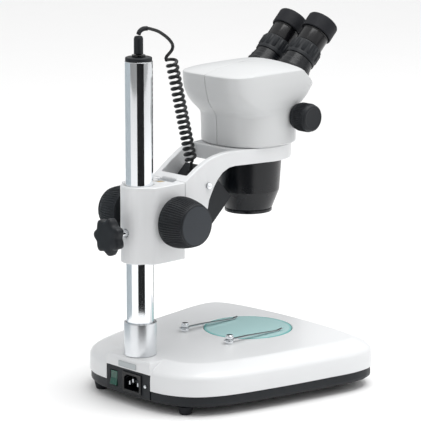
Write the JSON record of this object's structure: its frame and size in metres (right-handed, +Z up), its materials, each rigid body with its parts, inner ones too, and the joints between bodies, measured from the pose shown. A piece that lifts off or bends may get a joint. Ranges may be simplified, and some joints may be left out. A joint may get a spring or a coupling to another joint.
{
  "type": "stereo microscope",
  "caption": "Stereo microscope: lit white base, chrome column, focusing arm with an incident lamp, zoom head and two inclined eyepieces.",
  "frame": {"origin": "centre of the object's footprint box, at the underside of the feet (the free cord is left out)", "axes": "+Z up along the column, -Y towards the user, +X to the user's right"},
  "size_m": [0.273, 0.3204, 0.4108],
  "materials": {
    "white_enamel": "smooth white baked enamel, soft gloss",
    "white_cover": "white moulded cover, soft gloss",
    "black_plastic": "fine-grained black moulding",
    "black_gloss": "smooth black, satin gloss",
    "black_enamel": "satin black anodised or enamelled metal",
    "black_rubber": "soft black rubber",
    "chrome": "bright chrome plate",
    "satin_metal": "turned, satin",
    "steel": "plain ground steel",
    "brass": "machined brass",
    "nylon": "natural nylon",
    "board": "green circuit board with parts",
    "frosted_glass": "frosted glass plate, pale green-blue edge",
    "lens_glass": "coated lens glass",
    "green_switch": "translucent green rocker",
    "label_foil": "blank grey foil label"
  },
  "bodies": {
    "base": {"base_shell": "white_enamel", "base_pan": "black_plastic", "foot_front_left": "black_rubber", "foot_front_right": "black_rubber", "foot_rear_left": "black_rubber", "foot_rear_right": "black_rubber", "rear_panel": "black_plastic", "label_plate": "label_foil", "mains_inlet": "black_plastic", "inlet_pins": "satin_metal", "panel_screw": "chrome", "power_board": "board", "stage_led_board": "board", "stage_glass": "frosted_glass", "column_pole": "chrome", "column_collar": "satin_metal", "column_bolt": "steel", "pole_cap": "black_plastic", "dc_jack": "black_gloss"},
    "rocker": {"power_rocker": "green_switch"},
    "clip_left": {"clip_post_left": "chrome", "clip_blade_left": "steel"},
    "clip_right": {"clip_post_right": "chrome", "clip_blade_right": "steel"},
    "swing": {"dc_plug": "black_plastic", "plug_relief": "black_rubber", "cord_lead": "black_rubber", "cord_coil_upper": "black_rubber"},
    "carriage": {"focus_block": "white_enamel", "column_liner": "nylon", "cord_coil_lower": "black_rubber"},
    "clamp": {"clamp_knob": "black_plastic", "clamp_screw": "chrome"},
    "arm": {"arm_fork": "white_enamel", "slide_rail": "steel", "focus_rack": "brass", "lamp_screw_left": "chrome", "lamp_screw_right": "chrome"},
    "pinion": {"pinion_shaft": "steel", "focus_knob_left": "black_plastic", "focus_knob_right": "black_plastic"},
    "lamp": {"lamp_housing": "black_plastic", "lamp_window": "frosted_glass", "lamp_gland": "black_rubber"},
    "lock": {"head_lock_screw": "black_plastic"},
    "head": {"head_shell_left": "white_cover", "head_shell_right": "white_cover", "nosepiece": "black_enamel", "objective_lens": "lens_glass"},
    "zoom": {"zoom_shaft": "steel", "zoom_knob_left": "black_plastic", "zoom_knob_right": "black_plastic"},
    "eyetube_l": {"eyetube_left": "black_enamel"},
    "eyetube_r": {"eyetube_right": "black_enamel"},
    "dioptre_l": {"dioptre_ring_left": "black_plastic"},
    "dioptre_r": {"dioptre_ring_right": "black_plastic"},
    "ocular_l": {"eyepiece_left": "black_gloss", "eyecup_left": "black_rubber"},
    "ocular_r": {"eyepiece_right": "black_gloss", "eyecup_right": "black_rubber"}
  },
  "joints": [
    {"name": "rocker_tilt", "type": "hinge", "parent": "base", "child": "rocker", "pos_m": [0.023, 0.12894, 0.026], "axis": [1, 0, 0], "range_deg": [-16, 0]},
    {"name": "clip_left_turn", "type": "hinge", "parent": "base", "child": "clip_left", "pos_m": [-0.036, 0.01074, 0.054], "axis": [0, 0, 1], "range_deg": [-60, 20]},
    {"name": "clip_right_turn", "type": "hinge", "parent": "base", "child": "clip_right", "pos_m": [0.036, 0.01074, 0.054], "axis": [0, 0, 1], "range_deg": [-20, 60]},
    {"name": "column_swing", "type": "hinge", "parent": "base", "child": "swing", "pos_m": [0, 0.11064, 0.2], "axis": [0, 0, 1], "continuous": true},
    {"name": "column_slide", "type": "slide", "parent": "swing", "child": "carriage", "axis": [0, 0, 1], "range_m": [-0.065, 0.018], "deforming": ["cord_coil_upper"]},
    {"name": "clamp_turn", "type": "hinge", "parent": "carriage", "child": "clamp", "pos_m": [0, 0.13724, 0.191], "axis": [0, 1, 0], "range_deg": [0, 360]},
    {"name": "focus_slide", "type": "slide", "parent": "carriage", "child": "arm", "axis": [0, 0, 1], "range_m": [-0.022, 0.022], "deforming": ["cord_coil_lower"]},
    {"name": "pinion_turn", "type": "hinge", "parent": "carriage", "child": "pinion", "pos_m": [0, 0.08924, 0.2033], "axis": [1, 0, 0], "range_deg": [-352, 352]},
    {"name": "lamp_tilt", "type": "hinge", "parent": "arm", "child": "lamp", "pos_m": [0, 0.03619, 0.23371], "axis": [1, 0, 0], "range_deg": [-12, 8]},
    {"name": "lock_turn", "type": "hinge", "parent": "arm", "child": "lock", "pos_m": [0.03641, -0.07921, 0.26035], "axis": [0.809, -0.5878, 0], "range_deg": [0, 360]},
    {"name": "head_turn", "type": "hinge", "parent": "arm", "child": "head", "pos_m": [0, -0.05276, 0.27], "axis": [0, 0, 1], "range_deg": [-140, 140]},
    {"name": "zoom_turn", "type": "hinge", "parent": "head", "child": "zoom", "pos_m": [0, -0.07876, 0.2995], "axis": [1, 0, 0], "range_deg": [-135, 135]},
    {"name": "eyetube_left_turn", "type": "hinge", "parent": "head", "child": "eyetube_l", "pos_m": [-0.03025, -0.0896, 0.34816], "axis": [0, -0.7071, 0.7071], "range_deg": [-84.4, 0]},
    {"name": "eyetube_right_turn", "type": "hinge", "parent": "head", "child": "eyetube_r", "pos_m": [0.03025, -0.0896, 0.34816], "axis": [0, -0.7071, 0.7071], "range_deg": [0, 84.4]},
    {"name": "ocular_left_slide", "type": "slide", "parent": "eyetube_l", "child": "ocular_l", "axis": [0, -0.7071, 0.7071], "range_m": [-0.0025, 0.0025]},
    {"name": "ocular_right_slide", "type": "slide", "parent": "eyetube_r", "child": "ocular_r", "axis": [0, -0.7071, 0.7071], "range_m": [-0.0025, 0.0025]},
    {"name": "dioptre_left_turn", "type": "hinge", "parent": "eyetube_l", "child": "dioptre_l", "pos_m": [-0.023, -0.09526, 0.3425], "axis": [0, -0.7071, 0.7071], "range_deg": [-150, 150]},
    {"name": "dioptre_right_turn", "type": "hinge", "parent": "eyetube_r", "child": "dioptre_r", "pos_m": [0.023, -0.09526, 0.3425], "axis": [0, -0.7071, 0.7071], "range_deg": [-150, 150]}
  ],
  "couplings": [
    {"joint": "pinion_turn", "follows": "focus_slide", "rad_per_m": -277.78},
    {"joint": "eyetube_right_turn", "follows": "eyetube_left_turn", "ratio": -1},
    {"joint": "dioptre_left_turn", "follows": "ocular_left_slide", "rad_per_m": 1047.2},
    {"joint": "dioptre_right_turn", "follows": "ocular_right_slide", "rad_per_m": 1047.2}
  ]
}
